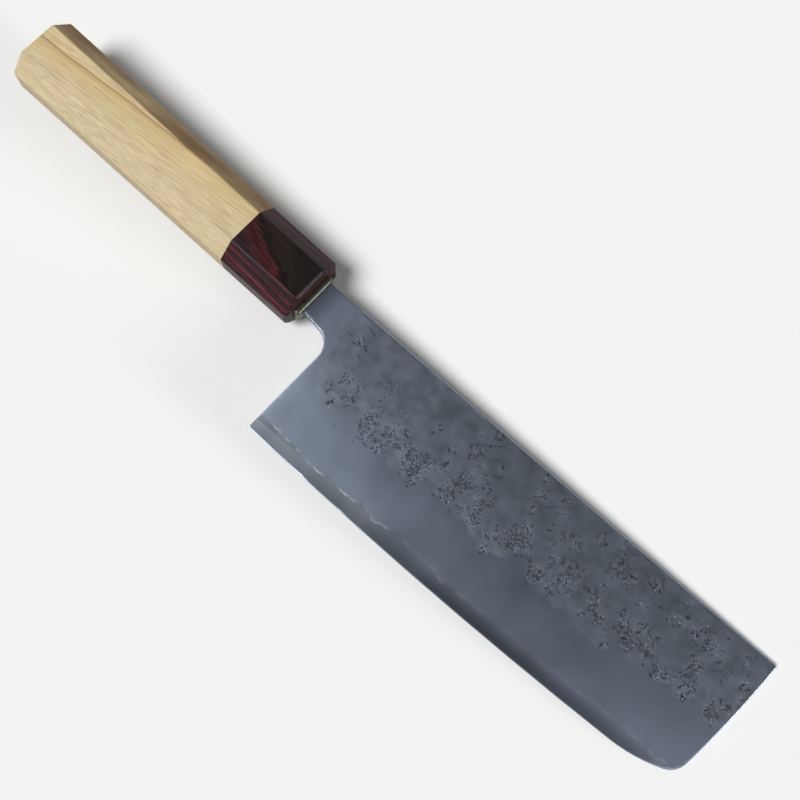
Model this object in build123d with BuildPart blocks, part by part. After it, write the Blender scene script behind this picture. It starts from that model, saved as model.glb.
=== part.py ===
from build123d import *
import os
from math import atan2, degrees, radians, sin, tan

# Nakiri, a Japanese vegetable knife: a three-layer blade whose tang is glued into an octagonal
# wooden handle with a dark ferrule. Millimetres.
# The knife lies on its left side. The origin is the centre of the handle's butt face. X runs
# along the handle to the blade's front, Y from the cutting edge to the spine, and Z up, out of
# the blade's right face. Z = 0 is the knife's middle plane.

# Handle: the wood and the ferrule make one tapering octagon
handle_length = 121.2
handle_thickness = 19.3
butt_height = 25.0
mouth_height = 23.6
handle_corner = 5.65
butt_chamfer = 0.7

# Ferrule, and the round tenon of the wood that it is glued on
ferrule_length = 28.0
ferrule_chamfer = 1.1
tenon_length = 20.0
tenon_diameter = 15.0
tenon_glue = 0.1

# Blade outline
neck_length = 14.8
neck_height = 12.4
spine_height = 6.5
blade_length = 164.6
blade_height = 50.5
spine_rise = 4.3
spine_dip = 0.4
choil_radius = 7.0
choil_drop = 1.4
heel_lean = 0.4
edge_flat = 10.0
belly_lift = 5.3
toe_length = 24.0
toe_angle = 23.5
corner_radius = 7.2
front_lean = 2.8
front_angle = 83.0
tip_radius = 0.7

# Blade thickness, from face to face
heel_spine_thickness = 3.2
heel_grind_thickness = 3.0
front_grind_thickness = 1.5
edge_thickness = 0.5
heel_grind_height = 27.0
front_grind_height = 20.0
grind_blend_radius = 400.0
edge_angle = 18.0
heel_core_thickness = 0.85
front_core_thickness = 0.76
arris = 0.25
arris_share = 0.42

# Tang, and the resin round it
tang_length = 88.0
tang_height = 11.0
tang_thickness = 3.0
tang_end_height = 5.2
tang_end_thickness = 2.2
resin_gap = 0.4
slot_corner = 0.35
bore_corner = 0.8

# Resin bead that closes the slot in front of the ferrule
seal_depth = 2.0
seal_spine_margin = 1.4
seal_edge_margin = 2.8
seal_side_margin = 1.6
seal_corner = 1.2
seal_round = 1.1

# How far a tool shape reaches past what it cuts, and how level a rim face's normal is
overrun = 5.0
level_share = 0.001

# Places along the knife
joint_x = handle_length - ferrule_length
neck_seat_x = joint_x + tenon_length
tang_end_x = handle_length - tang_length
mouth_x = handle_length
heel_x = mouth_x + neck_length
front_x = heel_x + blade_length

# Places across the knife
neck_bottom_y = spine_height - neck_height
neck_middle_y = (spine_height + neck_bottom_y) / 2
heel_y = spine_height - blade_height
front_top_y = spine_height + spine_rise

# The edge curves up in three tangent arcs. The toe's radius follows from the room that is left
# between the belly's end and the leaning front.
belly_angle = 2 * degrees(atan2(belly_lift, blade_length - toe_length - edge_flat))
corner_run = corner_radius * (sin(radians(front_angle)) - sin(radians(toe_angle)))
toe_run = toe_length - front_lean - corner_run
toe_radius = toe_run / (sin(radians(toe_angle)) - sin(radians(belly_angle)))

# The blade's faces keep opening behind the heel, up to where the neck is seated in the ferrule
distal_taper = (heel_grind_thickness - front_grind_thickness) / blade_length
neck_thickness = heel_spine_thickness + distal_taper * (heel_x - neck_seat_x)


def runs_along_rim(edge):
    """True for an edge that stays on one side of the knife, clear of the cutting edge."""
    start_z = (edge @ 0).Z
    end_z = (edge @ 1).Z
    return start_z * end_z > 0 and min(abs(start_z), abs(end_z)) > arris


# Outline of the blade and its neck: the edge from the heel to the front, then the spine, the
# neck's end inside the ferrule, and the choil, back to the heel
with BuildSketch() as outline:
    with BuildLine():
        level = Line((heel_x, heel_y), (heel_x + edge_flat, heel_y))
        belly_end = (front_x - toe_length, heel_y + belly_lift)
        belly = TangentArc(level @ 1, belly_end, tangent=level % 1)
        toe = JernArc(belly @ 1, belly % 1, toe_radius, toe_angle - belly_angle)
        corner = JernArc(toe @ 1, toe % 1, corner_radius, front_angle - toe_angle)
        front = TangentArc(corner @ 1, (front_x, front_top_y), tangent=corner % 1)
        spine_middle = (
            (neck_seat_x + front_x) / 2,
            (spine_height + front_top_y) / 2 - spine_dip,
        )
        ThreePointArc(front @ 1, spine_middle, (neck_seat_x, spine_height))
        # The choil's line starts under the resin bead, half-way through it
        Polyline(
            (neck_seat_x, spine_height),
            (neck_seat_x, neck_bottom_y),
            (mouth_x + seal_depth / 2, neck_bottom_y),
        )
        FilletPolyline(
            (mouth_x + seal_depth / 2, neck_bottom_y),
            (heel_x + heel_lean, neck_bottom_y - choil_drop),
            (heel_x, heel_y),
            radius=[choil_radius],
        )
    make_face()
    fillet(outline.vertices().sort_by(Axis.X)[-1], tip_radius)

# The edge bevel follows the edge, and goes straight on where the corner turns up, so that it
# runs out of the blade there
with BuildLine() as bevel_path:
    Line((heel_x - overrun, heel_y), level @ 1)
    add(belly)
    add(toe)
    Line(toe @ 1, toe @ 1 + (toe % 1) * corner_radius)

# The grind line, where the flat upper part of the right face meets its ground lower part.
# Both parts run along this line, so the whole face is one profile drawn square to it.
grind_start = Vector(heel_x, heel_y + heel_grind_height, heel_grind_thickness / 2)
grind_end = Vector(front_x, heel_y + front_grind_height, front_grind_thickness / 2)
grind_direction = (grind_end - grind_start).normalized()
grind_plane = Plane(
    origin=grind_start,
    x_dir=Vector(0, 0, 1).cross(grind_direction),
    z_dir=grind_direction,
)
heel_spine_point = Vector(heel_x, spine_height, heel_spine_thickness / 2)
heel_edge_point = Vector(heel_x, heel_y, edge_thickness / 2)

# Everything below the right face, far past the blade's outline: the blade is what this shape,
# its mirror image and the outline have in common
with BuildPart() as under_face:
    with BuildSketch(grind_plane):
        with BuildLine():
            above = grind_plane.to_local_coords(heel_spine_point)
            below = grind_plane.to_local_coords(heel_edge_point)
            top = (above.X * 2, above.Y * 2)
            foot = (below.X * 2, below.Y * 2)
            FilletPolyline(top, (0, 0), foot, radius=[grind_blend_radius])
            base_y = -2 * heel_spine_thickness
            Polyline(foot, (foot[0], base_y), (top[0], base_y), top)
        make_face()
    extrude(amount=2 * blade_length, both=True)

# Blade and tang in one, before they are parted into layers
with BuildPart() as blade_form:
    add(outline.sketch)
    extrude(amount=heel_spine_thickness, both=True)
    add(under_face.part, mode=Mode.INTERSECT)
    add(under_face.part.mirror(Plane.XY), mode=Mode.INTERSECT)
    # The two edge bevels, as a notch that leaves only the wedge between them
    with BuildSketch(Plane(origin=bevel_path.line @ 0, x_dir=(0, 1, 0), z_dir=(1, 0, 0))):
        with BuildLine():
            wedge_half = overrun * tan(radians(edge_angle))
            Polyline(
                (0, 0),
                (overrun, wedge_half),
                (overrun, overrun),
                (-overrun, overrun),
                (-overrun, -overrun),
                (overrun, -overrun),
                (overrun, -wedge_half),
                close=True,
            )
        make_face()
    sweep(path=bevel_path.line, mode=Mode.SUBTRACT)
    # The arrises of the spine, front, heel, choil and neck are eased, but not the edge
    rim = blade_form.faces().filter_by(lambda face: abs(face.normal_at().Z) < level_share)
    rim = rim.filter_by(lambda face: face.center().X > mouth_x)
    arrises = ShapeList(edge for face in rim for edge in face.edges())
    fillet(arrises.filter_by(runs_along_rim), min(arris, edge_thickness * arris_share))
    # The tang goes on from the neck's end, inside the handle
    with BuildSketch(Plane.YZ.offset(neck_seat_x)):
        with Locations((neck_middle_y, 0)):
            Rectangle(tang_height, tang_thickness)
    with BuildSketch(Plane.YZ.offset(tang_end_x)):
        Rectangle(tang_end_height, tang_end_thickness)
    loft(ruled=True)

# The core layer's slab, which thins towards the front as the blade does
with BuildPart() as core_slab:
    with BuildSketch(Plane.XZ):
        with BuildLine():
            core_taper = (heel_core_thickness - front_core_thickness) / blade_length / 2
            tang_core = heel_core_thickness / 2 + core_taper * heel_x
            front_core = front_core_thickness / 2 - core_taper * overrun
            Polyline(
                (0, -tang_core),
                (front_x + overrun, -front_core),
                (front_x + overrun, front_core),
                (0, tang_core),
                close=True,
            )
        make_face()
    extrude(amount=2 * blade_height, both=True)

with BuildPart() as core_steel:
    add(blade_form.part)
    add(core_slab.part, mode=Mode.INTERSECT)

with BuildPart() as right_cladding:
    add(blade_form.part)
    add(core_slab.part, mode=Mode.SUBTRACT)
    split(bisect_by=Plane.XY, keep=Keep.TOP)

with BuildPart() as left_cladding:
    add(right_cladding.part.mirror(Plane.XY))

# Space for the neck in the ferrule's front wall, and for the tang in the wood behind it: the
# steel's own shape with a gap for the resin all round
with BuildPart() as tang_space:
    with BuildSketch(Plane.YZ.offset(neck_seat_x)):
        with Locations((neck_middle_y, 0)):
            slot_height = neck_height + 2 * resin_gap
            RectangleRounded(slot_height, neck_thickness + 2 * resin_gap, slot_corner)
    extrude(amount=mouth_x - neck_seat_x)
    with BuildSketch(Plane.YZ.offset(neck_seat_x)):
        with Locations((neck_middle_y, 0)):
            bore_height = tang_height + 2 * resin_gap
            RectangleRounded(bore_height, tang_thickness + 2 * resin_gap, bore_corner)
    with BuildSketch(Plane.YZ.offset(tang_end_x - resin_gap)):
        bore_end_height = tang_end_height + 2 * resin_gap
        RectangleRounded(bore_end_height, tang_end_thickness + 2 * resin_gap, bore_corner)
    loft(ruled=True)

# Wood and ferrule as one tapering octagon, before they are parted at the joint
with BuildPart() as handle_form:
    with BuildSketch():
        with BuildLine():
            Polyline(
                (0, butt_height / 2),
                (mouth_x, mouth_height / 2),
                (mouth_x, -mouth_height / 2),
                (0, -butt_height / 2),
                close=True,
            )
        make_face()
    extrude(amount=handle_thickness / 2, both=True)
    chamfer(handle_form.edges().group_by(Edge.length)[-1], handle_corner)
    chamfer(handle_form.faces().sort_by(Axis.X)[0].edges(), butt_chamfer)
    chamfer(handle_form.faces().sort_by(Axis.X)[-1].edges(), ferrule_chamfer)

with BuildPart() as handle_body:
    add(handle_form.part)
    split(bisect_by=Plane.YZ.offset(joint_x), keep=Keep.BOTTOM)
    with BuildSketch(Plane.YZ.offset(joint_x)):
        Circle(tenon_diameter / 2)
    extrude(amount=tenon_length)
    add(tang_space.part, mode=Mode.SUBTRACT)

with BuildPart() as ferrule:
    add(handle_form.part)
    split(bisect_by=Plane.YZ.offset(joint_x), keep=Keep.TOP)
    with BuildSketch(Plane.YZ.offset(joint_x)):
        Circle(tenon_diameter / 2 + tenon_glue)
    extrude(amount=tenon_length, mode=Mode.SUBTRACT)
    add(tang_space.part, mode=Mode.SUBTRACT)

# The resin fills what the steel leaves of that space
with BuildPart() as tang_adhesive:
    add(tang_space.part)
    add(blade_form.part, mode=Mode.SUBTRACT)

# The bead on the ferrule's front face reaches further on the edge side than on the spine side
with BuildPart() as mouth_seal:
    with BuildSketch(Plane.YZ.offset(mouth_x)):
        seal_middle_y = neck_middle_y + (seal_spine_margin - seal_edge_margin) / 2
        with Locations((seal_middle_y, 0)):
            seal_height = neck_height + seal_spine_margin + seal_edge_margin
            seal_width = neck_thickness + 2 * seal_side_margin
            RectangleRounded(seal_height, seal_width, seal_corner)
    extrude(amount=seal_depth)
    fillet(mouth_seal.faces().sort_by(Axis.X)[-1].edges(), seal_round)
    add(blade_form.part, mode=Mode.SUBTRACT)

pieces = {
    "core_steel": core_steel,
    "right_cladding": right_cladding,
    "left_cladding": left_cladding,
    "handle_body": handle_body,
    "ferrule": ferrule,
    "tang_adhesive": tang_adhesive,
    "mouth_seal": mouth_seal,
}
os.makedirs("parts", exist_ok=True)
for name, piece in pieces.items():
    piece.part.label = name
    export_step(piece.part, f"parts/{name}.step")
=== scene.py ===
# %% [markdown]
# # A nakiri knife
# A nakiri is a vegetable knife with a tall, almost straight blade. This one has three layers of
# steel, a pale wooden handle with eight sides, and a dark ferrule where the blade goes in.
# The construction model holds every size. This lesson gives its pieces the look of the real
# ones: it eases edges, hammers the forged skin into the blade's faces, and builds each finish
# from shader nodes. Lengths are in metres, and MM turns millimetres into them.

# %% Load the frame
import math
import bmesh
import bpy
import numpy as np
from mathutils import Matrix, Vector
from mathutils.bvhtree import BVHTree
from mathutils.geometry import delaunay_2d_cdt, intersect_point_line
from mathutils.kdtree import KDTree


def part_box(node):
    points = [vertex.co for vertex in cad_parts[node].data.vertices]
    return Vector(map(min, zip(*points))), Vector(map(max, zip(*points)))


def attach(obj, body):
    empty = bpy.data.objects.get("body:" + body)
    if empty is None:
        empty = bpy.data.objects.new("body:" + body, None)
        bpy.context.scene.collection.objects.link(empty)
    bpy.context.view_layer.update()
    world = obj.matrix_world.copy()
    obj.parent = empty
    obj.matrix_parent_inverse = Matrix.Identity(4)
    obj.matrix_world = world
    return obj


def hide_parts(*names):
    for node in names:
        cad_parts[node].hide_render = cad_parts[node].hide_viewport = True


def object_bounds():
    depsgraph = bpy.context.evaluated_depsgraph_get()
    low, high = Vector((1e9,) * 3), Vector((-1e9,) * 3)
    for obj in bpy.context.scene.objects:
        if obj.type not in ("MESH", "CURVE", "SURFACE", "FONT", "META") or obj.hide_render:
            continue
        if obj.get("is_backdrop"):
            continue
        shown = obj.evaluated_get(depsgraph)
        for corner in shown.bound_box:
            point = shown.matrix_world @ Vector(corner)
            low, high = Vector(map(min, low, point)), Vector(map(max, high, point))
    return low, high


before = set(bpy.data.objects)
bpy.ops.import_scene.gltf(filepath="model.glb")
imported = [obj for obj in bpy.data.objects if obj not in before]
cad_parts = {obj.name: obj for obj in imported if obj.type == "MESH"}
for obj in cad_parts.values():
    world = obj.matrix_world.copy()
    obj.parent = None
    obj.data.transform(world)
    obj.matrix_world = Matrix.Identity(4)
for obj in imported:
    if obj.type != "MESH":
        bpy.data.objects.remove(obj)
cad_low, cad_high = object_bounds()
MM = 0.001
print("Pieces:", ", ".join(sorted(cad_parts)))
print("Size in mm:", [round(side / MM, 1) for side in cad_high - cad_low])

# %% [markdown]
# ## Camera
# The knife was photographed from a little over 30 cm, from above and slightly from the edge side,
# with the handle at the upper left. Three facts place the camera: where it stands, the point of
# the knife's middle plane that it looks at, and which way is up in the picture. A matrix made of
# three directions turns it, which is easier to check than three angles.

# %% Camera
camera_place = Vector((198.83, -64.55, 301.79)) * MM
camera_aim = Vector((164.13, -5.94, 0.0)) * MM
picture_up = Vector((-0.668, 0.713, 0.215))

back = (camera_place - camera_aim).normalized()
right = picture_up.cross(back).normalized()
up = back.cross(right)
camera = bpy.data.objects.new("camera", bpy.data.cameras.new("camera"))
camera.data.lens = 45
camera.data.sensor_width = 36
camera.matrix_world = Matrix.Translation(camera_place) @ Matrix((right, up, back)).transposed().to_4x4()
bpy.context.collection.objects.link(camera)
bpy.context.scene.camera = camera
bpy.context.scene.view_settings.view_transform = "Standard"
print("Camera stands", round(camera_place.z / MM), "mm above the blade")

# %% [markdown]
# ## Helpers
# Colours are written as sRGB hex, as a paint program shows them, and Blender wants linear light.
# A material here is a chain of nodes, so one function adds a node with its settings and links.
# Every material reads the surface point in millimetres. So the scale of a pattern is one over its
# real size, and what is too fine for the picture is drawn as coarse as it needs to show.

# %% Helpers for colours and nodes
def linear(colour):
    """Linear RGBA of an sRGB hex colour such as #c8b089."""
    shares = [int(colour[place:place + 2], 16) / 255 for place in (1, 3, 5)]
    return [s / 12.92 if s <= 0.04045 else ((s + 0.055) / 1.055) ** 2.4 for s in shares] + [1.0]


def add(tree, kind, sockets=(), out=0, stops=(), **settings):
    """Adds a node. sockets gives inputs, by name or in order: a value, or an output to link.
    stops gives a colour ramp its places and colours."""
    node = tree.nodes.new("ShaderNode" + kind)
    for name, value in settings.items():
        setattr(node, name, value)
    for number, (place, colour) in enumerate(stops):
        ramp = node.color_ramp.elements
        stop = ramp[number] if number < 2 else ramp.new(place)
        stop.position, stop.color = place, linear(colour)
    for key, value in sockets.items() if isinstance(sockets, dict) else enumerate(sockets):
        if isinstance(value, bpy.types.NodeSocket):
            tree.links.new(value, node.inputs[key])
        elif value is not None:
            node.inputs[key].default_value = value
    return node.outputs[out] if node.outputs else node


def new_material(name):
    """A material with nothing in it, its node tree, and the surface point in millimetres."""
    material = bpy.data.materials.new(name)
    material.use_nodes = True
    tree = material.node_tree
    tree.nodes.clear()
    place = add(tree, "TexCoord", out="Object")
    place = add(tree, "VectorMath", (place, (1 / MM,) * 3), operation="MULTIPLY")
    return material, tree, place


print("Mid grey is", round(linear("#808080")[0], 3), "in linear light")

# %% [markdown]
# ## Table and light
# The knife lies on its left side, and its thick handle lifts the neck. So it rests on the
# ferrule's lower front edge and on the tip of the blade, and the table's top is the plane through
# these two. The table and the wall behind it are the same plain pale paper, lit almost evenly, so
# only a very faint line shows between them, and only from low down.
#
# One large soft lamp stands for the studio's softbox. It is far off, on the edge side towards
# the handle and about 55 degrees up. The rest of the room is dim, because bare steel shows the
# room that it reflects: the ceiling is nearly black over the middle of the blade and lightens to
# both ends on the edge side, and only the paper near the horizon is pale. A weak low lamp off
# the blade's front catches the edges that face it, such as the ferrule's chamfer. Both lamps are
# suns with a wide angle, so their light is the same along the whole knife.

# %% Table
front_chamfer = 1.1
tip_underside = 0.9
table_reach = 30.0

ferrule_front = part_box("ferrule")[1].x
ferrule_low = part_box("ferrule")[0].z
front_edge = Vector((ferrule_front - front_chamfer * MM, 0, ferrule_low))
blade_tip = Vector((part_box("core_steel")[1].x, 0, -tip_underside * MM))
slope = (blade_tip.z - front_edge.z) / (blade_tip.x - front_edge.x)
corners = [(x, y, front_edge.z + (x - front_edge.x) * slope)
           for x, y in ((-table_reach, -table_reach), (table_reach, -table_reach),
                        (table_reach, table_reach), (-table_reach, table_reach))]
table = bpy.data.objects.new("table", bpy.data.meshes.new("table"))
table.data.from_pydata(corners, [], [(0, 1, 2, 3)])
bpy.context.collection.objects.link(table)
table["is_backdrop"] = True
print("The table leans", round(math.degrees(math.atan(slope)), 2), "degrees to the knife")

# %% Paper on the table
paper = "#ebebea"
paper_in_bounce = "#8e8e8d"


def in_picture(tree):
    """1 for a ray that shows in the picture: straight, mirrored, or through something clear. It
    is 0 for light that only bounces about, so the pale paper adds little light of its own."""
    rays = add(tree, "LightPath").node.outputs
    seen = add(tree, "Math", (rays["Is Camera Ray"], rays["Is Glossy Ray"]), operation="MAXIMUM")
    return add(tree, "Math", (seen, rays["Is Transmission Ray"]), operation="MAXIMUM")


material, tree, place = new_material("backdrop_paper")
colour = add(tree, "Mix", {0: in_picture(tree), 6: linear(paper_in_bounce), 7: linear(paper)}, out=2,
             data_type="RGBA")
surface = add(tree, "BsdfDiffuse", {"Color": colour})
add(tree, "OutputMaterial", {"Surface": surface})
table.data.materials.append(material)
print("The paper is", paper, "to the eye and", paper_in_bounce, "to light that bounces")

# %% The room
wall_light = 0.87
ceiling_light = 0.05
darkest_towards = 0.05
ceiling_rise = 4.0
rise_starts, rise_ends = 0.03, 0.29
wall_ends, ceiling_starts = 0.5, 0.85
fill_light = 0.13

room = bpy.data.worlds.new("room")
bpy.context.scene.world = room
room.use_nodes = True
tree = room.node_tree
tree.nodes.clear()
direction = add(tree, "SeparateXYZ", (add(tree, "TexCoord", out="Generated"),)).node.outputs
ceiling = add(tree, "Math", (direction["X"], darkest_towards), operation="SUBTRACT")
ceiling = add(tree, "Math", (ceiling, ceiling), operation="MULTIPLY")
edge_side = add(tree, "MapRange", (direction["Y"], rise_starts, rise_ends, 1.0, 0.0))
ceiling = add(tree, "Math", (ceiling, edge_side), operation="MULTIPLY")
ceiling = add(tree, "Math", (ceiling, ceiling_rise, ceiling_light), operation="MULTIPLY_ADD")
ceiling = add(tree, "Math", (ceiling, wall_light), operation="MINIMUM")
wall = add(tree, "MapRange", (direction["Z"], wall_ends, ceiling_starts, wall_light, ceiling),
           interpolation_type="SMOOTHSTEP")
level = add(tree, "Mix", {0: in_picture(tree), 2: fill_light, 3: wall}, data_type="FLOAT")
light = add(tree, "Background", {"Color": linear("#ffffff"), "Strength": level})
add(tree, "OutputWorld", {"Surface": light})
print("The wall gives", wall_light, "of white, the ceiling", ceiling_light)

# %% Lamps
def far_lamp(name, towards, spread, power):
    """A lamp far off in a direction. It looks as wide in the sky as spread says, in degrees."""
    lamp = bpy.data.lights.new(name, "SUN")
    lamp.energy = power
    lamp.angle = math.radians(spread)
    direction = Vector(towards).normalized()
    stand = bpy.data.objects.new(name, lamp)
    stand.rotation_mode = "QUATERNION"
    stand.rotation_quaternion = direction.to_track_quat("Z", "Y")
    bpy.context.collection.objects.link(stand)
    print("White paper gets", round(power * direction.z / math.pi, 2), "from the", name)


far_lamp("softbox", towards=(-0.25, -0.5, 0.83), spread=28, power=3.2)
far_lamp("strip_light", towards=(0.945, 0.207, 0.252), spread=14, power=1.3)

# %% [markdown]
# ## Steel
# The blade is a sandwich. Soft steel is forge-welded on both sides of a hard core, and the core
# shows only near the edge, below a pale wavy weld line. The upper half of each side is left as it
# came from the forge: dark, pitted and dented. The lower half was ground and rubbed with fine
# stones, so it is smooth and satin, with a cold haze.
#
# A painted picture would blur from close by. Here the nodes work out how high each point is above
# the cutting edge, and the weld line, the painted dark reflection over the last millimetres and
# the honed bevel follow from that height at any distance.

# %% Height above the edge, and the weld line
heel_x, heel_y = 136.0, -44.0
edge_flat_end = heel_x + 10.0
belly_rise, belly_run = 5.3, 130.6
belly_lift = belly_rise / belly_run ** 2
weld_low, weld_high = 3.6, 6.6
noise_span = (0.3, 0.7)  # nearly all values of a noise texture lie between these two


def height_over_edge(tree, x, y):
    """Height in mm above the cutting edge, whose belly curves up towards the front."""
    past = add(tree, "Math", (x, edge_flat_end), operation="SUBTRACT")
    past = add(tree, "Math", (past, 0.0), operation="MAXIMUM")
    lift = add(tree, "Math", (past, past), operation="MULTIPLY")
    edge = add(tree, "Math", (lift, belly_lift, heel_y), operation="MULTIPLY_ADD")
    return add(tree, "Math", (y, edge), operation="SUBTRACT")


def weld_line(tree, place, x, above_edge):
    """Shares of cladding and of pale wisps. The line wanders as the layers did under the hammer,
    and the wisps along it are broken and fade towards the front."""
    wander = add(tree, "TexNoise", {"Vector": place, "Scale": 1 / 9.0, "Detail": 3.0,
                                    "Roughness": 0.6})
    weld = add(tree, "MapRange", (wander, *noise_span, weld_low, weld_high))
    past_weld = add(tree, "Math", (above_edge, weld), operation="SUBTRACT")
    clad = add(tree, "MapRange", (past_weld, -0.5, 0.5), interpolation_type="SMOOTHSTEP")
    off_line = add(tree, "Math", (past_weld,), operation="ABSOLUTE")
    wisp = add(tree, "MapRange", (off_line, 0.08, 0.4, 1.0, 0.0), interpolation_type="SMOOTHSTEP")
    breaks = add(tree, "TexNoise", {"Vector": place, "Scale": 1 / 3.2, "Detail": 1.0})
    breaks = add(tree, "MapRange", (breaks, 0.46, 0.6))
    fades = add(tree, "MapRange", (x, heel_x + 35, heel_x + 90, 1.0, 0.3))
    wisp = add(tree, "Math", (wisp, breaks), operation="MULTIPLY")
    return clad, add(tree, "Math", (wisp, fades), operation="MULTIPLY")


print("The weld line wanders from", weld_low, "to", weld_high, "mm above the edge")

# %% Ground steel
core_colour, clad_colour = "#929ba6", "#a1adc1"
wisp_colour, edge_colour = "#d3dade", "#585c61"


def ground_steel(tree, place, x, above_edge):
    """Colour and roughness of the ground layers: satin from the stones, with a cold haze."""
    clad, wisp = weld_line(tree, place, x, above_edge)

    # The last millimetres over the edge get a painted dark reflection of the ceiling. Towards the
    # front both layers look alike, and the edge was polished finer there, so it shows the dark ceiling
    forward = add(tree, "MapRange", (x, 165.0, 235.0), interpolation_type="SMOOTHSTEP")
    low = add(tree, "MapRange", (above_edge, 0.6, 6.0, 1.0, 0.0), interpolation_type="SMOOTHSTEP")
    polished = add(tree, "Math", (low, forward), operation="MULTIPLY")
    clad = add(tree, "Math", (clad, forward), operation="MAXIMUM")
    colour = add(tree, "Mix", {0: clad, 6: linear(core_colour), 7: linear(clad_colour)}, out=2,
                 data_type="RGBA")

    # The haze lies in soft clouds. The neck is brighter, and painted darker by the mouth: a painted
    # reflection of the dark ferrule
    haze = add(tree, "TexNoise", {"Vector": place, "Scale": 1 / 16.0, "Detail": 2.0})
    shade = add(tree, "MapRange", (haze, *noise_span, 0.97, 1.03))
    # Painted reflection: the steel over the edge is darkened all along, as if it showed the dark
    # ceiling
    painted_dark_reflection = add(tree, "MapRange", (low, 0.0, 1.0, 1.0, 0.68))
    neck = add(tree, "MapRange", (x, 134.0, 142.0, 1.25, 1.0), interpolation_type="SMOOTHSTEP")
    # Painted reflection of the dark ferrule on the neck next to the mouth
    painted_ferrule_reflection = add(tree, "MapRange", (x, 124.5, 130.5, 0.6, 1.0), interpolation_type="SMOOTHSTEP")
    for share in (painted_dark_reflection, neck, painted_ferrule_reflection):
        shade = add(tree, "Math", (shade, share), operation="MULTIPLY")
    colour = add(tree, "VectorMath", {0: colour, "Scale": shade}, operation="SCALE")
    colour = add(tree, "Mix", {0: wisp, 6: colour, 7: linear(wisp_colour)}, out=2, data_type="RGBA")
    roughness = add(tree, "MapRange", (haze, *noise_span, 0.245, 0.27))
    roughness = add(tree, "Mix", {0: polished, 2: roughness, 3: 0.2}, data_type="FLOAT")

    # The honed bevel is the narrow strip right at the edge
    honed = add(tree, "MapRange", (above_edge, 0.3, 0.5, 1.0, 0.0), interpolation_type="SMOOTHSTEP")
    colour = add(tree, "Mix", {0: honed, 6: colour, 7: linear(edge_colour)}, out=2, data_type="RGBA")
    roughness = add(tree, "Mix", {0: honed, 2: roughness, 3: 0.4}, data_type="FLOAT")
    return colour, roughness


print("Ground steel is", core_colour, "in the core and", clad_colour, "in the cladding")

# %% Forged skin
skin_colour, arris_shade_colour, pit_shade_colour = "#8a94a2", "#5c6168", "#474c54"


def forged_skin(tree, place, x, colour, roughness, relief):
    """Lays the forge's dark skin over ground steel. The net's points carry where it lies, where
    its dents are, and where it is pitted."""
    skin, pit, pitted = (add(tree, "Attribute", attribute_name=name, out="Fac")
                         for name in ("skin", "pit", "pitted"))
    patches = add(tree, "TexNoise", {"Vector": place, "Scale": 1 / 6.0, "Detail": 4.0,
                                     "Roughness": 0.6})
    mottle = add(tree, "MapRange", (patches, *noise_span, 0.76, 1.24))
    mottle = add(tree, "Math", (pitted, 0.1, mottle), operation="MULTIPLY_ADD")
    dark = add(tree, "VectorMath", {0: linear(skin_colour)[:3], "Scale": mottle}, operation="SCALE")
    colour = add(tree, "Mix", {0: skin, 6: colour, 7: dark}, out=2, data_type="RGBA")
    roughness = add(tree, "Mix", {0: skin, 2: roughness, 3: 0.33}, data_type="FLOAT")

    # The neck's eased arrises get a painted shade, dark and rough, which dulls the highlight that
    # they catch from the softbox
    tilt = add(tree, "SeparateXYZ", (add(tree, "NewGeometry", out="Normal"),), out="Z")
    tilt = add(tree, "Math", (tilt,), operation="ABSOLUTE")
    painted_arris_shade = add(tree, "MapRange", (tilt, 0.9, 0.97, 1.0, 0.0), interpolation_type="SMOOTHSTEP")
    on_neck = add(tree, "MapRange", (x, heel_x, heel_x + 1.0, 1.0, 0.0))
    painted_arris_shade = add(tree, "Math", (painted_arris_shade, on_neck), operation="MULTIPLY")
    colour = add(tree, "Mix", {0: painted_arris_shade, 6: colour, 7: linear(arris_shade_colour)}, out=2, data_type="RGBA")
    roughness = add(tree, "Mix", {0: painted_arris_shade, 2: roughness, 3: 0.6}, data_type="FLOAT")

    # Pinholes finer than the net, crowded where the net is pitted. They and the dents' floors get
    # a painted shade
    holes = add(tree, "TexNoise", {"Vector": place, "Scale": 1 / 0.6, "Detail": 2.0,
                                   "Distortion": 1.5})
    needed = add(tree, "MapRange", (pitted, 0.0, 0.5, 0.74, 0.49))
    holes = add(tree, "Math", (holes, needed), operation="SUBTRACT")
    holes = add(tree, "MapRange", (holes, 0.0, 0.07), interpolation_type="SMOOTHSTEP")
    pit_shade = add(tree, "Math", (holes, pit), operation="MAXIMUM")
    colour = add(tree, "Mix", {0: pit_shade, 6: colour, 7: linear(pit_shade_colour)}, out=2, data_type="RGBA")
    relief = add(tree, "Math", (holes, -0.015, relief), operation="MULTIPLY_ADD")
    return colour, roughness, relief


print("The skin is", skin_colour, "and its pinholes are", pit_shade_colour)

# %% The blade's two steels
# The stones' real scratches are far finer than this and wouldn't show
grit_size, grit_depth = 0.25, 0.001


def blade_steel(name, forged):
    """Material of the blade. forged adds the skin and pits that the claddings carry."""
    material, tree, place = new_material(name)
    x, y, _ = add(tree, "SeparateXYZ", (place,)).node.outputs
    colour, roughness = ground_steel(tree, place, x, height_over_edge(tree, x, y))
    grit = add(tree, "TexNoise", {"Vector": place, "Scale": 1 / grit_size, "Detail": 3.0})
    relief = add(tree, "Math", (grit, grit_depth), operation="MULTIPLY")
    if forged:
        colour, roughness, relief = forged_skin(tree, place, x, colour, roughness, relief)
    bump = add(tree, "Bump", {"Height": relief, "Distance": MM, "Strength": 1.0})
    surface = add(tree, "BsdfPrincipled",
                  {"Base Color": colour, "Metallic": 1.0, "Roughness": roughness, "Normal": bump})
    add(tree, "OutputMaterial", {"Surface": surface})
    return material


forged_steel = blade_steel("forged_and_ground_soft_steel", forged=True)
hard_steel = blade_steel("ground_hard_steel", forged=False)
print("Nodes:", *(f"{len(m.node_tree.nodes)} in {m.name}" for m in (forged_steel, hard_steel)))

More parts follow.
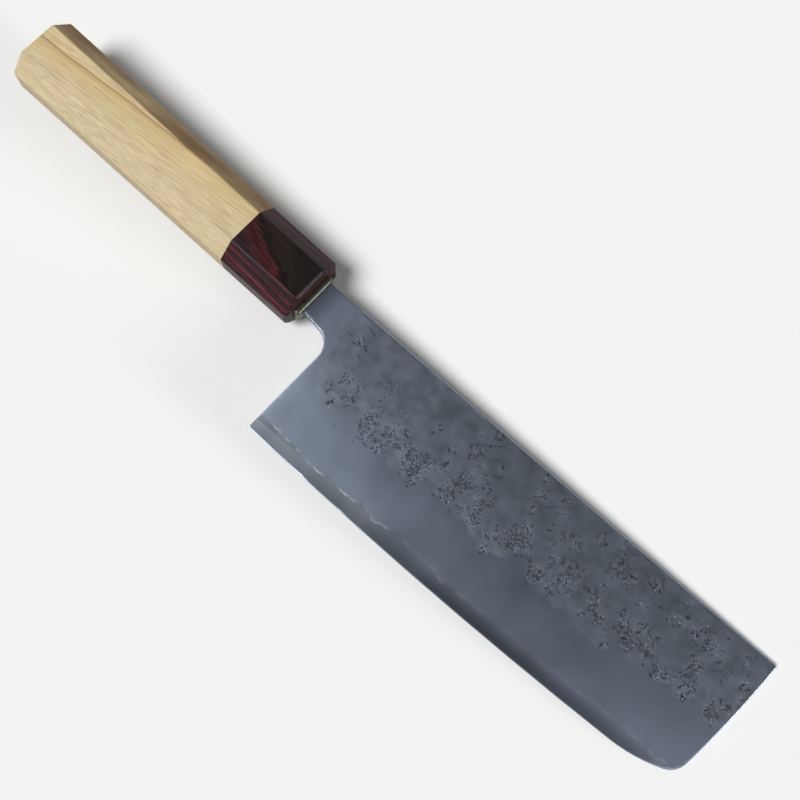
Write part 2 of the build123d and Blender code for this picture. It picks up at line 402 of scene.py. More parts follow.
# %% [markdown]
# ## Relief of the forged skin
# Hammer and scale left dents and pits, at most about a tenth of a millimetre deep, in the
# blade's upper half. With bump in the material alone the face itself would stay flat. So the
# relief is drawn as a raster of heights, and each cladding's face is cut into a fine net whose
# points take their heights from it. The relief is a soft swell, with dents strewn round pitted
# spots. On the side that shows, the spots lie where the picture has them. On the other side
# chance sets them, from a fixed seed, so that every run gives the same blade.

# %% Swell and dents
raster_step = 0.1
raster_x = np.arange(120.0, 302.0, raster_step)
raster_y = np.arange(-46.0, 12.0, raster_step)
dent_reach = 2.2
lip_height, lip_place, lip_width = 0.2, 1.5, 0.4
# A dent this deep or deeper gets the full painted shade on its floor
dark_dent_depth = 0.012


def smoothstep(low, high, value):
    """0 below low, 1 above high, and a soft rise between them."""
    share = np.clip((value - low) / (high - low), 0, 1)
    return share * share * (3 - 2 * share)


def waves(rng, x, y, lengths, count=6):
    """Soft random swell with crests about as far apart as lengths says, in mm, from -1 to 1."""
    total = np.zeros_like(x)
    for _ in range(count):
        turn = rng.uniform(0, math.pi)
        length = rng.uniform(*lengths)
        phase = rng.uniform(0, 2 * math.pi)
        total += np.sin(2 * math.pi * (x * math.cos(turn) + y * math.sin(turn)) / length + phase)
    return total / count ** 0.5 / 1.5


def near(centre, reach):
    """The raster's rows and columns near a point, and their places relative to it."""
    columns = np.flatnonzero(abs(raster_x - centre[0]) < reach)
    rows = np.flatnonzero(abs(raster_y - centre[1]) < reach)
    x, y = np.meshgrid(raster_x[columns] - centre[0], raster_y[rows] - centre[1])
    return np.ix_(rows, columns), x, y


def press(relief, dents, centre, length, width, depth, turn):
    """Presses one dent with a low lip into the relief, and marks its floor in dents."""
    window, x, y = near(centre, dent_reach * max(length, width))
    along = x * math.cos(turn) + y * math.sin(turn)
    along = np.maximum(abs(along) - length, 0) / width
    across = (y * math.cos(turn) - x * math.sin(turn)) / width
    distance = np.hypot(along, across)
    floor = np.exp(-(distance ** 3))
    lip = lip_height * np.exp(-(((distance - lip_place) / lip_width) ** 2))
    relief[window] += depth * (lip - floor)
    # The floor is marked, and the skin gets a painted shade there
    dents[window] = np.maximum(dents[window], floor * min(1.0, depth / dark_dent_depth))


print("The raster has", raster_x.size, "by", raster_y.size, "heights")

# %% Where the skin ends and where it is pitted
blade_side = 1.2
pixels = 800


def on_blade(pixel):
    """The point of the blade's right side, in mm, that the camera sees at a pixel."""
    u, v = (pixel[0] / pixels - 0.5, 0.5 - pixel[1] / pixels)
    ray = (right * u + up * v) * camera.data.sensor_width / camera.data.lens - back
    place = camera_place + ray * (blade_side * MM - camera_place.z) / ray.z
    return place.xy / MM


# The skin's lower border in mm, from the neck to the front
skin_floor = ((134, -17), (141, -19), (149, -22.5), (156, -20), (164, -22), (183, -21), (194, -19),
              (203, -20), (213, -23), (223, -17), (231, -20), (258, -20), (265, -16), (284, -16),
              (289, -12), (294, -16), (302, -11))

# Pitted spots by pixel of the picture, each with its size in mm and how crowded it is
pitted_spots = (
    (358, 343, 2.2, 0.5), (347, 378, 1.6, 0.6), (347, 398, 1.8, 0.6), (330, 403, 1.3, 0.7),
    (332, 424, 1.5, 0.3), (372, 421, 2.6, 0.8), (364, 436, 1.8, 0.8), (391, 433, 2.4, 0.7),
    (380, 448, 1.8, 0.6), (398, 446, 1.6, 0.7), (412, 452, 1.8, 1.0), (408, 467, 2.8, 0.9),
    (428, 464, 2.0, 0.7), (415, 476, 2.0, 0.8), (406, 434, 1.6, 0.5), (444, 464, 1.8, 0.6),
    (460, 482, 2.6, 0.8), (446, 493, 2.4, 0.9), (486, 482, 1.8, 0.5), (496, 436, 1.8, 0.5),
    (478, 452, 2.0, 0.6), (466, 480, 1.8, 0.6), (480, 505, 1.8, 0.9), (473, 519, 2.2, 0.8),
    (498, 538, 2.0, 0.5), (483, 550, 1.2, 0.7), (518, 540, 3.2, 0.8), (526, 528, 1.8, 0.5),
    (540, 497, 2.0, 0.7), (533, 510, 1.4, 0.7), (570, 500, 1.0, 0.7), (560, 516, 1.8, 0.4),
    (546, 476, 1.2, 0.5), (564, 536, 1.8, 0.8), (577, 545, 2.0, 0.7), (604, 540, 2.0, 0.5),
    (536, 574, 2.2, 0.9), (556, 561, 1.8, 0.6), (568, 576, 3.0, 1.0), (552, 587, 2.0, 0.7),
    (588, 590, 1.6, 0.5), (604, 588, 1.2, 0.7), (622, 571, 2.6, 1.0), (633, 579, 1.8, 0.9),
    (628, 546, 1.8, 0.4), (656, 586, 1.8, 0.8), (594, 604, 2.0, 1.0), (599, 618, 1.8, 0.9),
    (624, 618, 2.0, 0.6), (628, 640, 2.4, 0.9), (604, 646, 1.2, 0.5), (652, 634, 1.8, 0.6),
    (649, 652, 2.0, 0.8), (661, 674, 1.8, 0.8), (677, 621, 1.8, 0.9), (690, 604, 1.0, 0.9),
    (700, 632, 2.0, 0.7), (710, 644, 2.2, 0.8), (694, 668, 2.0, 1.0), (683, 681, 1.6, 0.9),
    (693, 690, 1.6, 0.8), (683, 696, 1.4, 0.7), (746, 684, 1.8, 0.6), (742, 698, 1.6, 0.6),
    (750, 656, 1.2, 0.4), (712, 710, 2.2, 1.0), (730, 711, 1.6, 0.6), (640, 604, 1.6, 0.3),
    (720, 655, 1.6, 0.4))

# Long creases by pixel, from end to end
creases = (
    ((470, 444), (506, 447)), ((370, 328), (377, 339)), ((480, 504), (495, 508)),
    ((542, 508), (558, 506)), ((618, 562), (630, 575)), ((620, 626), (648, 658)),
    ((626, 626), (652, 655)), ((656, 586), (666, 579)), ((494, 476), (503, 478)),
    ((483, 549), (490, 543)), ((345, 392), (349, 401)), ((712, 671), (722, 671)))
print(len(pitted_spots), "pitted spots and", len(creases), "creases on the side that shows")

# %% One face's relief
highest_spot = 8
spot_growth = 1.2
dents_per_square = 4
skin_start = 136.8


def belt_spots(rng, count, sizes, crowds):
    """Pitted spots strewn by chance, most of them low on the forged skin."""
    spots = []
    for _ in range(count):
        x = rng.uniform(139, 299)
        floor = np.interp(x, *zip(*skin_floor))
        rise = min(rng.exponential(9) + 1, highest_spot - floor)
        spots.append(((x, floor + rise), rng.uniform(*sizes), rng.uniform(*crowds)))
    return spots


def forge_skin(rng, spots, lines):
    """Relief in mm, and the shares of skin, of dents and of pinholes on one face of the blade.
    The skin starts over the heel, and its lower border is ragged."""
    x, y = np.meshgrid(raster_x, raster_y)
    floor = np.interp(x, *zip(*skin_floor)) + 1.2 * waves(rng, x, y, (3, 9))
    skin = smoothstep(-2.0, 2.0, y - floor) * smoothstep(-1.5, 1.5, x - skin_start + 0.1 * y)

    # Long swells come from the hammer's blows, and short ones from the scale
    relief = (0.045 * waves(rng, x, y, (9, 22)) + 0.012 * waves(rng, x, y, (3, 6), 10)) * skin
    dents = np.zeros_like(x)
    pitted = np.zeros_like(x)

    # Each spot is a soft oval with dents strewn in it, which lie about as the oval does
    for middle, size, crowd in spots:
        lean = rng.uniform(0, math.pi)
        size *= spot_growth
        window, u, v = near(middle, 3 * size)
        along = u * math.cos(lean) + v * math.sin(lean)
        across = v * math.cos(lean) - u * math.sin(lean)
        share = crowd * np.exp(-((along / size / 1.2) ** 2 + (across / size / 0.9) ** 2))
        pitted[window] = np.maximum(pitted[window], share)
        for _ in range(int(dents_per_square * size * size * crowd)):
            away = Matrix.Rotation(lean, 2) @ Vector(rng.normal(0, 0.72 * size, 2) * (1.0, 0.7))
            press(relief, dents, away + Vector(middle), length=rng.uniform(0, 0.7),
                  width=rng.uniform(0.14, 0.28), depth=rng.uniform(0.004, 0.016),
                  turn=lean + rng.normal(0, 0.6))
    for start, end in lines:
        way = Vector(end) - Vector(start)
        press(relief, dents, (Vector(start) + Vector(end)) / 2, length=way.length / 2, width=0.2,
              depth=0.007, turn=math.atan2(way.y, way.x))
    return relief, skin, dents, pitted


rng = np.random.default_rng(11)
spots = [(on_blade(spot[:2]), *spot[2:]) for spot in pitted_spots]
spots += belt_spots(rng, count=70, sizes=(0.7, 1.5), crowds=(0.3, 0.7))
lines = [(on_blade(start), on_blade(end)) for start, end in creases]
right_skin = forge_skin(rng, spots, lines)
left_spots = belt_spots(rng, count=len(spots), sizes=(0.8, 3.0), crowds=(0.4, 1))
left_skin = forge_skin(rng, left_spots, [])
print("The right side's relief goes down to", round(right_skin[0].min(), 3), "mm")

# %% The construction model's face as a formula
on_face = 0.005
grind_round = 400.0


def probe(solid, side, x, y):
    """Height in mm of the CAD face above a point of the middle plane."""
    hit = solid.ray_cast(Vector((x, y, side * 10)) * MM, Vector((0, 0, -side)))[0]
    return side * hit.z / MM


def plane_through(solid, side, places):
    """Coefficients of z = a + bx + cy through three probed points."""
    rows = [(1, x, y) for x, y in places]
    return np.linalg.solve(rows, [probe(solid, side, x, y) for x, y in places])


def face_formula(solid, side):
    """Height of the blade's face: the upper and the ground flat, blended by a large round."""
    upper = plane_through(solid, side, ((150, 0), (290, 5), (210, -8)))
    lower = plane_through(solid, side, ((150, -36), (270, -33), (200, -36)))
    bend = math.hypot(lower[1] - upper[1], lower[2] - upper[2])
    width = grind_round * bend * math.tan(bend / 2)

    def height(x, y):
        a = upper[0] + upper[1] * x + upper[2] * y
        b = lower[0] + lower[1] * x + lower[2] * y
        mix = np.clip(0.5 + 0.5 * (b - a) / width, 0, 1)
        return b * (1 - mix) + a * mix - width * mix * (1 - mix)

    return height


print("The two flats of a face are blended by a round of", grind_round, "mm")

# %% Open the face, and lay a net over it
net_step, coarse_step = 0.3, 1.0
rim_clear = 0.6 * net_step
face_rear = 113.19
skin_box = ((134, -26), (302, 12))
plain_boxes = (((113, -45), (302, -26.5)), ((113, -26), (133.5, 12)))


def lattice(low, high, step):
    """Points of a triangular net that fills a rectangle."""
    rows = np.arange(low[1], high[1], step * math.sqrt(3) / 2)
    columns = np.arange(low[0], high[0], step)
    return [(x + step / 2 * (number % 2), y) for number, y in enumerate(rows) for x in columns]


def open_face(mesh, side, height):
    """Takes the blade's face out of the mesh and leaves its rim, in short steps."""
    def lies_on(v):
        x, y, z = v.co / MM
        return x > face_rear and abs(side * z - height(x, y)) < on_face

    on = {v for v in mesh.verts if lies_on(v)}
    face = [f for f in mesh.faces if all(v in on for v in f.verts)]
    bmesh.ops.delete(mesh, geom=face, context="FACES")
    long = [e for e in mesh.edges if len(e.link_faces) == 1]
    while long:
        bmesh.ops.subdivide_edges(mesh, edges=long, cuts=1)
        rim = [e for e in mesh.edges if len(e.link_faces) == 1]
        long = [e for e in rim if e.calc_length() > 1.2 * net_step * MM]
    return rim


def net_over(corners, rim, rim_tree):
    """Points and triangles of a net that fills the rim: fine over the skin, coarse elsewhere.
    Each point comes with the numbers of the corners that it stands for. No other point lies
    close to the rim, so no triangle there is a sliver."""
    number_of = {v: number for number, v in enumerate(corners)}
    outline = [tuple(number_of[v] for v in e.verts) for e in rim]
    net = lattice(*skin_box, net_step)
    for low, high in plain_boxes:
        net += lattice(low, high, coarse_step)
    free = [(x, y) for x, y in net if rim_tree.find((x, y, 0))[2] > rim_clear]
    flat = [Vector((v.co.x / MM, v.co.y / MM)) for v in corners] + [Vector(p) for p in free]
    only_inside = 1
    points, _, triangles, sources, _, _ = delaunay_2d_cdt(flat, outline, [], only_inside, 0.0001)
    used = sorted({n for triangle in triangles for n in triangle})
    triangles = np.searchsorted(used, triangles)
    return [points[n] for n in used], triangles, [sources[n] for n in used]


print("The net's steps are", net_step, "mm over the skin and", coarse_step, "mm elsewhere")

# %% A mesh becomes a piece
sharp_turn = 30


def finished_piece(mesh, name, sharp_lines=()):
    """Makes an object of a mesh in the making. It shades smooth, except over edges that turn
    sharply and over the given lines."""
    mesh.normal_update()
    for face in mesh.faces:
        face.smooth = True
    for edge in mesh.edges:
        edge.smooth = edge.calc_face_angle(0) < math.radians(sharp_turn)
    for edge in sharp_lines:
        edge.smooth = False
    piece = bpy.data.objects.new(name, bpy.data.meshes.new(name))
    mesh.to_mesh(piece.data)
    mesh.free()
    bpy.context.collection.objects.link(piece)
    shading = piece.modifiers.new("flat_sides_stay_flat", "WEIGHTED_NORMAL")
    shading.keep_sharp = True
    return piece


print("Edges that turn", sharp_turn, "degrees or more stay sharp")

# %% Press the relief into both claddings
rim_fade = 0.8


def dress_cladding(node, side, skin_of_side):
    """A copy of a cladding whose outer face is a fine net with the forged relief pressed in."""
    mesh = bmesh.new()
    mesh.from_mesh(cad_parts[node].data)
    layers = [mesh.verts.layers.float.new(name) for name in ("skin", "pit", "pitted")]
    bmesh.ops.remove_doubles(mesh, verts=mesh.verts, dist=0.001 * MM)
    mesh.normal_update()
    solid = BVHTree.FromBMesh(mesh)
    face_height = face_formula(solid, side)
    rim = open_face(mesh, side, face_height)
    corners = list(dict.fromkeys(v for e in rim for v in e.verts))
    rim_tree = KDTree(len(corners))
    for number, v in enumerate(corners):
        rim_tree.insert((v.co.x / MM, v.co.y / MM, 0), number)
    rim_tree.balance()
    points, triangles, sources = net_over(corners, rim, rim_tree)

    # The formula is measured against the model at a sample of points away from the rim
    x, y = np.array(points).T
    height = face_height(x, y)
    away = np.array([rim_tree.find((u, v, 0))[2] for u, v in zip(x, y)])
    inner = np.flatnonzero(away > 1)[::997]
    miss = max(abs(height[n] - probe(solid, side, x[n], y[n])) for n in inner)

    # The relief fades out towards the rim, so the face still meets the rest of the solid
    relief, *shares = skin_of_side
    column = np.clip(np.round((x - raster_x[0]) / raster_step).astype(int), 0, len(raster_x) - 1)
    row = np.clip(np.round((y - raster_y[0]) / raster_step).astype(int), 0, len(raster_y) - 1)
    height = height + relief[row, column] * smoothstep(0.0, rim_fade, away)
    net = []
    for number, source in enumerate(sources):
        old = [n for n in source if n < len(corners)]
        place = Vector((x[number], y[number], side * height[number])) * MM
        v = corners[old[0]] if old else mesh.verts.new(place)
        for layer, share in zip(layers, shares):
            v[layer] = share[row[number], column[number]]
        net.append(v)
    for triangle in triangles:
        mesh.faces.new([net[n] for n in triangle[::side]])
    gaps = sum(len(e.link_faces) != 2 for e in mesh.edges)
    print(node, "has", len(mesh.faces), "faces,", gaps, "open edges, off the model by",
          round(miss, 4), "mm")
    return finished_piece(mesh, node.replace("cladding", "forged_cladding"))


for node, side, skin in (("right_cladding", 1, right_skin), ("left_cladding", -1, left_skin)):
    piece = dress_cladding(node, side, skin)
    piece.data.materials.append(forged_steel)
    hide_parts(node)
    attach(piece, "root")

# %% [markdown]
# ## Core and its edge
# The construction model's cutting bevel is about 0.8 mm wide. On stones the maker takes the steel
# above it down too, and only a narrow bevel stays. It faces the softbox, so it gives the edge the
# thin bright line that the eye looks for. The seam with the cladding stays a crisp line.
#
# Only the bevel's upper points are moved, towards the edge. The ground strip above them is cut
# in short steps first. So each point takes only its own short piece of the strip along, and the
# seam stays where it is.

# %% Lines of the core
bevel_kept = 0.5
bevel_reach = 1.2
seam_clears_edge = 1.5
strip_step = 5.0

# The ground strip and the bevel lie below the first of these, and the bevel ends at the second
strip_top = -30.0
bevel_end = 299.0


def is_bevel_line(edge):
    """The line where the honed bevel meets a ground face, not the heel, the front or the spine."""
    turn = math.degrees(edge.calc_face_angle(0))
    low = all(v.co.y < strip_top * MM and v.co.x < bevel_end * MM and abs(v.co.z) > 0.05 * MM
              for v in edge.verts)
    flat = all(abs(f.normal.z) > 0.8 for f in edge.link_faces)
    return low and flat and 6 < turn < 30


def is_cutting_edge(edge):
    """The line in the middle plane where the two bevels meet."""
    return all(v.co.y < strip_top * MM and abs(v.co.z) < 0.02 * MM for v in edge.verts)


def is_seam(edge):
    """The line where the core's ground strip meets the flat side that the cladding covers."""
    low = [heel_y + belly_lift * max(v.co.x / MM - edge_flat_end, 0) ** 2 for v in edge.verts]
    clear = all(v.co.y / MM > y + seam_clears_edge for v, y in zip(edge.verts, low))
    return clear and edge.calc_face_angle(0) > math.radians(1)


def long_strip_edges(mesh):
    """Edges in the blade's lower part that are longer than a step of the ground strip."""
    return [e for e in mesh.edges if e.calc_length() > strip_step * MM
            and all(v.co.y < strip_top * MM for v in e.verts)]


def foot_on(edge, point):
    """The point of an edge that lies nearest to a point."""
    start, end = (v.co for v in edge.verts)
    share = intersect_point_line(point, start, end)[1]
    return start.lerp(end, min(max(share, 0), 1))


print("The bevel keeps", bevel_kept, "of its width")

# %% Core with a honed edge
mesh = bmesh.new()
mesh.from_mesh(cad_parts["core_steel"].data)
bmesh.ops.remove_doubles(mesh, verts=mesh.verts, dist=0.001 * MM)
bmesh.ops.dissolve_limit(mesh, angle_limit=math.radians(0.2), verts=mesh.verts, edges=mesh.edges)
while long := long_strip_edges(mesh):
    bmesh.ops.subdivide_edges(mesh, edges=long, cuts=1)
cutting = [e for e in mesh.edges if is_cutting_edge(e)]
bevel_line = {v for e in mesh.edges if is_bevel_line(e) for v in e.verts}
honed = 0
for v in bevel_line:
    foot = min((foot_on(e, v.co) for e in cutting), key=lambda place: (place - v.co).length)
    if (foot - v.co).length < bevel_reach * MM:
        v.co = foot.lerp(v.co, bevel_kept)
        honed += 1
bmesh.ops.triangulate(mesh, faces=mesh.faces)
gaps = sum(len(e.link_faces) != 2 for e in mesh.edges)
print(honed, "points honed,", len(mesh.faces), "faces,", gaps, "open edges")
sharp_lines = [e for e in mesh.edges if is_seam(e) or is_bevel_line(e)]
core = finished_piece(mesh, "honed_core", sharp_lines)
core.data.materials.append(hard_steel)
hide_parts("core_steel")
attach(core, "root")

# %% [markdown]
# ## Wooden handle
# The handle is a pale ring-porous wood such as chestnut: planed to eight sides, sanded, and left
# bare. Its grain runs a few degrees across the handle's axis. Growth rings cross the broad side
# almost flat, so a ring's dark edge shows there as one long streak. The wood above it, at the
# spine, gets dark brown bands: partly its own browner colour, partly painted shade of the side
# that faces away from the softbox, growing towards the ferrule. Fine brown strokes along the
# grain are cut pores. Bare sanded wood has a soft sheen and no reflections.
#
# The rings are layers through the whole piece, not a picture on its skin. So each of the eight
# sides cuts them at its own angle, as the plane did.

# %% Growth rings, and the spine side's brown, which is partly painted shade
ring_spacing = 2.6
ring_edge = 9.8
ring_wave = 0.36
grain_turn = math.radians(-4.5)
spine_brown_and_shade = 0.92


def ringed_wood(tree, place, grain):
    """Colour of the ringed wood, and each point's place in its ring, from 0 to 1."""
    swell = add(tree, "VectorMath", (grain, (1 / 28, 1 / 9, 1 / 9)), operation="MULTIPLY")
    swell = add(tree, "TexNoise", {"Vector": swell, "Scale": 1.0, "Detail": 2.0})
    depth = add(tree, "VectorMath", (grain, (0, 0.18, 0.98)), out=1, operation="DOT_PRODUCT")
    depth = add(tree, "Math", (swell, ring_wave, depth), operation="MULTIPLY_ADD")
    rings = add(tree, "Math", (depth, ring_edge + ring_wave / 2), operation="SUBTRACT")
    rings = add(tree, "Math", (rings, ring_spacing), operation="DIVIDE")
    ring = add(tree, "Math", (rings,), operation="FRACT")
    colour = add(tree, "ValToRGB", (ring,), stops=(
        (0.0, "#cfbe97"), (0.86, "#c8b58a"), (0.3, "#d2c29d"),
        (0.955, "#b9a379"), (0.975, "#8f7b4e"), (1.0, "#c9b58b")))

    # Rings fade towards the cutting side. The spine side gets dark brown bands: partly the wood's
    # own browner colour, partly painted shade of the side turned away from the softbox
    x, y, z = add(tree, "SeparateXYZ", (place,)).node.outputs
    toward_spine = add(tree, "Math", (y, z), operation="ADD")
    plain = add(tree, "MapRange", (toward_spine, 2.0, 9.0, 0.7, 0.0))
    colour = add(tree, "Mix", {0: plain, 6: colour, 7: linear("#cdc0a3")}, out=2, data_type="RGBA")
    # Painted shade grows towards the ferrule, so the brown reaches further there
    toward_spine = add(tree, "Math", (x, 0.0058, toward_spine), operation="MULTIPLY_ADD")
    toward_spine = add(tree, "Math", (swell, 1.6, toward_spine), operation="MULTIPLY_ADD")
    toward_spine = add(tree, "MapRange", (toward_spine, 16.5, 17.8), interpolation_type="SMOOTHSTEP")
    bands = add(tree, "VectorMath", (grain, (1 / 5, 1 / 2.5, 1 / 2.5)), operation="MULTIPLY")
    bands = add(tree, "TexNoise", {"Vector": bands, "Scale": 1.0, "Detail": 2.0})
    brown_and_shade = add(tree, "ValToRGB", (bands,), stops=(
        (0.36, "#5f441f"), (0.64, "#774a24"), (0.5, "#6a4d26")))
    brown_and_shade_share = add(tree, "Math", (toward_spine, spine_brown_and_shade), operation="MULTIPLY")
    return add(tree, "Mix", {0: brown_and_shade_share, 6: colour, 7: brown_and_shade}, out=2, data_type="RGBA"), ring


print("Growth rings are", ring_spacing, "mm apart")

# %% Fibres, soft patches and pores
def sanded_chestnut():
    """Bare sanded ring-porous wood whose rings cross the handle's broad sides at a low angle.
    Real fibres are finer, and are drawn as wide as they need to be to show."""
    material, tree, place = new_material("sanded_chestnut")
    grain = add(tree, "VectorRotate", {"Vector": place, "Angle": grain_turn}, rotation_type="Z_AXIS")
    colour, ring = ringed_wood(tree, place, grain)
    fibres = add(tree, "VectorMath", (grain, (1 / 20, 1 / 0.34, 1 / 0.34)), operation="MULTIPLY")
    fibres = add(tree, "TexNoise", {"Vector": fibres, "Scale": 1.0, "Detail": 3.0, "Roughness": 0.7})
    fibre_shade = add(tree, "MapRange", (fibres, *noise_span, 0.84, 1.16))
    colour = add(tree, "VectorMath", {0: colour, "Scale": fibre_shade}, operation="SCALE")
    patches = add(tree, "VectorMath", (grain, (1 / 16, 1 / 4, 1 / 4)), operation="MULTIPLY")
    patches = add(tree, "TexNoise", {"Vector": patches, "Scale": 1.0, "Detail": 2.0})
    warmth = add(tree, "ValToRGB", (patches,), stops=((0.35, "#faf8f2"), (0.65, "#fff8f2")))
    colour = add(tree, "VectorMath", (colour, warmth), operation="MULTIPLY")
    pores = add(tree, "VectorMath", (grain, (1 / 9, 1 / 0.24, 1 / 0.24)), operation="MULTIPLY")
    pores = add(tree, "TexNoise", {"Vector": pores, "Scale": 1.0, "Detail": 1.0})
    pores = add(tree, "MapRange", (pores, 0.52, 0.63), interpolation_type="SMOOTHSTEP")
    early = add(tree, "MapRange", (ring, 0.2, 0.9, 1.0, 0.5))
    pores = add(tree, "Math", (pores, early), operation="MULTIPLY")
    pore_share = add(tree, "Math", (pores, 0.5), operation="MULTIPLY")
    colour = add(tree, "Mix", {0: pore_share, 6: colour, 7: linear("#9a7350")}, out=2, data_type="RGBA")
    roughness = add(tree, "MapRange", (fibres, *noise_span, 0.52, 0.62))
    relief = add(tree, "Math", (pores, -0.03), operation="MULTIPLY")
    relief = add(tree, "Math", (fibres, 0.02, relief), operation="MULTIPLY_ADD")
    bump = add(tree, "Bump", {"Height": relief, "Distance": MM, "Strength": 1.0})
    surface = add(tree, "BsdfPrincipled", {"Base Color": colour, "Roughness": roughness, "Normal": bump,
                                           "Specular IOR Level": 0.3})
    add(tree, "OutputMaterial", {"Surface": surface})
    return material


wood = sanded_chestnut()
print(wood.name, "has", len(wood.node_tree.nodes), "nodes")

# %% [markdown]
# ## Ferrule
# The ferrule is cut from dyed wood: thin veneers stained black, wine red and purple, and pressed
# with resin into one hard block. The layers lie almost flat under the broad side, so they show
# there as wide irregular fields, and on the slanted sides as narrow stripes. The resin takes a
# satin polish, which is why it is glossier than the handle.
#
# As in the handle, the layers run through the whole piece. One colour ramp, read across them,
# gives each layer its stain.

# %% Dyed veneers
veneers_height = 9.0
veneer_slope = (0.052, 0.108, 0.99)


def dyed_veneers():
    """Dark stained veneers pressed with resin, in layers that cross the block at a low angle."""
    material, tree, place = new_material("dyed_veneers")
    swell = add(tree, "VectorMath", (place, (1 / 14, 1 / 5, 1 / 5)), operation="MULTIPLY")
    swell = add(tree, "TexNoise", {"Vector": swell, "Scale": 1.0, "Detail": 3.0, "Roughness": 0.65})
    fibres = add(tree, "VectorMath", (place, (1 / 9, 1 / 0.32, 1 / 0.32)), operation="MULTIPLY")
    fibres = add(tree, "TexNoise", {"Vector": fibres, "Scale": 1.0, "Detail": 2.0, "Roughness": 0.6})
    depth = add(tree, "VectorMath", (place, veneer_slope), out=1, operation="DOT_PRODUCT")
    depth = add(tree, "Math", (swell, 0.45, depth), operation="MULTIPLY_ADD")
    streaks = add(tree, "VectorMath", (place, (1 / 16, 1 / 0.9, 1 / 0.9)), operation="MULTIPLY")
    streaks = add(tree, "TexNoise", {"Vector": streaks, "Scale": 1.0, "Detail": 2.0, "Roughness": 0.6})
    depth = add(tree, "Math", (streaks, 1.0, depth), operation="MULTIPLY_ADD")
    thin = add(tree, "CombineXYZ", (add(tree, "SeparateXYZ", (place,)), depth))
    thin = add(tree, "VectorMath", (thin, (1 / 40, 1 / 0.34, 0)), operation="MULTIPLY")
    thin = add(tree, "TexNoise", {"Vector": thin, "Scale": 1.0, "Detail": 1.0})
    layers = add(tree, "Math", (depth, veneers_height), operation="DIVIDE")
    layers = add(tree, "Math", (layers,), operation="FRACT")
    colour = add(tree, "ValToRGB", (layers,), stops=(
        (0.0, "#2b1a1c"), (0.07, "#40242a"), (0.14, "#2a1418"), (0.22, "#4c242a"), (0.3, "#2c1d21"),
        (0.38, "#201315"), (0.46, "#472327"), (0.53, "#2a181c"), (0.6, "#2c1e24"), (0.66, "#1c1314"),
        (0.7, "#40191c"), (0.722, "#381719"), (0.745, "#1a1312"), (0.9, "#151110"), (1.0, "#2b1a1c")))
    red = add(tree, "MapRange", (fibres, 0.5, 0.68), interpolation_type="SMOOTHSTEP")
    redness = add(tree, "SeparateColor", (colour,), out="Red")
    redness = add(tree, "MapRange", (redness, 0.02, 0.09))
    red = add(tree, "Math", (red, redness), operation="MULTIPLY")
    red = add(tree, "Math", (red, 0.6), operation="MULTIPLY")
    colour = add(tree, "Mix", {0: red, 6: colour, 7: linear("#6c3338")}, out=2, data_type="RGBA")
    shade = add(tree, "MapRange", (fibres, *noise_span, 0.75, 1.25))
    thin_shade = add(tree, "MapRange", (thin, 0.35, 0.65, 0.5, 1.7))
    shade = add(tree, "Math", (shade, thin_shade), operation="MULTIPLY")
    colour = add(tree, "VectorMath", {0: colour, "Scale": shade}, operation="SCALE")
    roughness = add(tree, "MapRange", (fibres, *noise_span, 0.36, 0.44))
    relief = add(tree, "Math", (fibres, 0.008), operation="MULTIPLY")
    bump = add(tree, "Bump", {"Height": relief, "Distance": MM, "Strength": 1.0})
    surface = add(tree, "BsdfPrincipled", {"Base Color": colour, "Roughness": roughness, "Normal": bump,
                                           "Specular IOR Level": 0.12})
    add(tree, "OutputMaterial", {"Surface": surface})
    return material


veneers = dyed_veneers()
print(veneers.name, "has", len(veneers.node_tree.nodes), "nodes")

# %% [markdown]
# ## Eased edges
# The maker breaks every sharp edge of the handle with a few strokes of fine paper. Each copy
# below gets the same small round on its outer edges, and the two stay flush where they meet. A
# bevel modifier that goes by angle would round that joint too, so each edge is picked by where
# it lies.

# %% Handle and ferrule with eased edges
easing = 0.3
least_turn = 20
joint_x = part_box("ferrule")[0].x
inside_radius = 8.3  # the tenon, the bore and the slot lie nearer to the axis, the sides farther


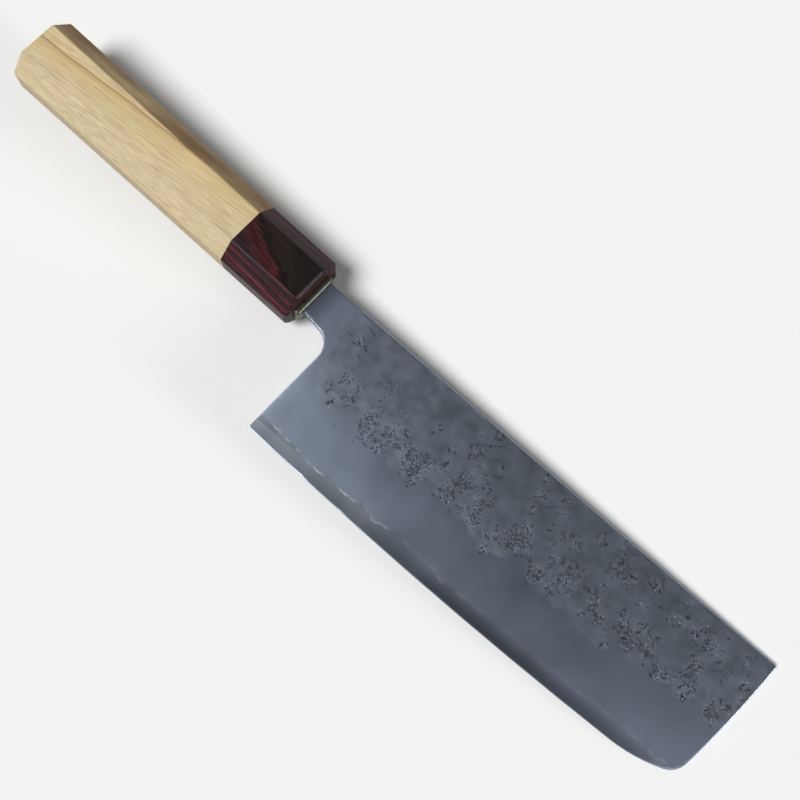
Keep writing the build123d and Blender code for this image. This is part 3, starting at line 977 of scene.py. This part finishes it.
def ease(node, name):
    """A copy of a handle piece with its outer edges rounded, except at the joint between them."""
    mesh = bmesh.new()
    mesh.from_mesh(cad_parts[node].data)
    bmesh.ops.remove_doubles(mesh, verts=mesh.verts, dist=0.001 * MM)
    bmesh.ops.dissolve_limit(mesh, angle_limit=math.radians(0.5), verts=mesh.verts, edges=mesh.edges)

    def is_outer(edge):
        outside = all(math.hypot(v.co.y, v.co.z) > inside_radius * MM for v in edge.verts)
        at_joint = all(abs(v.co.x - joint_x) < 0.01 * MM for v in edge.verts)
        return outside and not at_joint and edge.calc_face_angle(0) > math.radians(least_turn)

    outer = [e for e in mesh.edges if is_outer(e)]
    bmesh.ops.bevel(mesh, geom=outer, offset=easing * MM, segments=3, profile=0.5, affect="EDGES",
                    clamp_overlap=True)
    bmesh.ops.triangulate(mesh, faces=mesh.faces)
    gaps = sum(len(e.link_faces) != 2 for e in mesh.edges)
    print(name, "has", len(outer), "eased edges,", len(mesh.faces), "faces,", gaps, "open edges")
    return finished_piece(mesh, name)


for node, name, material, slot in (
        ("handle_body", "eased_handle", wood, "handle_wood"),
        ("ferrule", "eased_ferrule", veneers, "ferrule_wood")):
    piece = ease(node, name)
    piece.data.materials.append(material)
    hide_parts(node)
    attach(piece, "root")

# %% [markdown]
# ## Resin in the mouth
# A bead of epoxy resin closes the slot round the neck. It has yellowed to a dull olive, and its
# skin set smooth. The resin round the tang is the same, out of sight. Both solids are used as
# they are, because only their finish is missing.

# %% Set resin
def set_resin(name, colour):
    """Epoxy that set in the open: smooth, slightly cloudy, with faint streaks."""
    material, tree, place = new_material(name)
    streaks = add(tree, "TexNoise", {"Vector": place, "Scale": 1 / 1.5, "Detail": 3.0})
    shade = add(tree, "MapRange", (streaks, *noise_span, 0.8, 1.2))
    colour = add(tree, "VectorMath", {0: linear(colour)[:3], "Scale": shade}, operation="SCALE")
    roughness = add(tree, "MapRange", (streaks, *noise_span, 0.25, 0.4))
    bump = add(tree, "Bump", {"Height": streaks, "Distance": 0.05 * MM, "Strength": 1.0})
    surface = add(tree, "BsdfPrincipled",
                  {"Base Color": colour, "Roughness": roughness, "Normal": bump})
    add(tree, "OutputMaterial", {"Surface": surface})
    return material


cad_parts["mouth_seal"].material_slots[0].material = set_resin("yellowed_epoxy", "#454330")
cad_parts["tang_adhesive"].material_slots[0].material = set_resin("set_epoxy", "#b3a26f")

# %% [markdown]
# The finished pieces have to fill the same box as the construction model. Both boxes are written
# down, and the largest difference is printed.

low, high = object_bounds()
off = max(abs(a - b) for a, b in zip((*cad_low, *cad_high), (*low, *high)))
print("The finished knife's box is off by", round(off / MM, 4), "mm")
